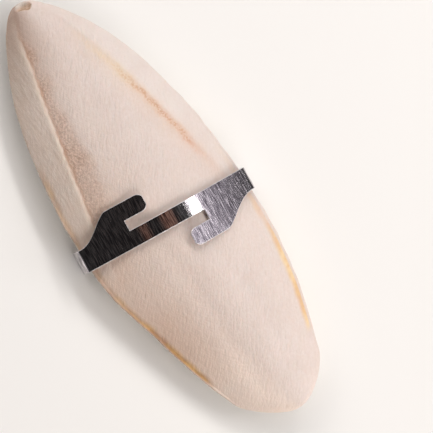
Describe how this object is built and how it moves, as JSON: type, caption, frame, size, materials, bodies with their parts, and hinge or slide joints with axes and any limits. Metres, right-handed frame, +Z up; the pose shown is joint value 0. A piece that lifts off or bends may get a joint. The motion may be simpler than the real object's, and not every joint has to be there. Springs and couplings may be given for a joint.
{
  "type": "cuttlebone with holder clip",
  "caption": "Oval chalky cuttlebone held in a bent steel clip, whose two hooks hang it on the wires of a bird cage.",
  "frame": {"origin": "under the middle of the whole, on the surface that the belly rests on", "axes": "+Z up out of the hard upper side, +Y along the bone towards its narrow rear tip"},
  "size_m": [0.0504, 0.13, 0.0169],
  "materials": {
    "cuttlebone": "chalky, matt, cream-pink, with an amber horny margin",
    "holder_clip": "bright brushed stainless strip"
  },
  "bodies": {
    "root": {"cuttlebone": "cuttlebone", "holder_clip": "holder_clip"}
  },
  "joints": []
}
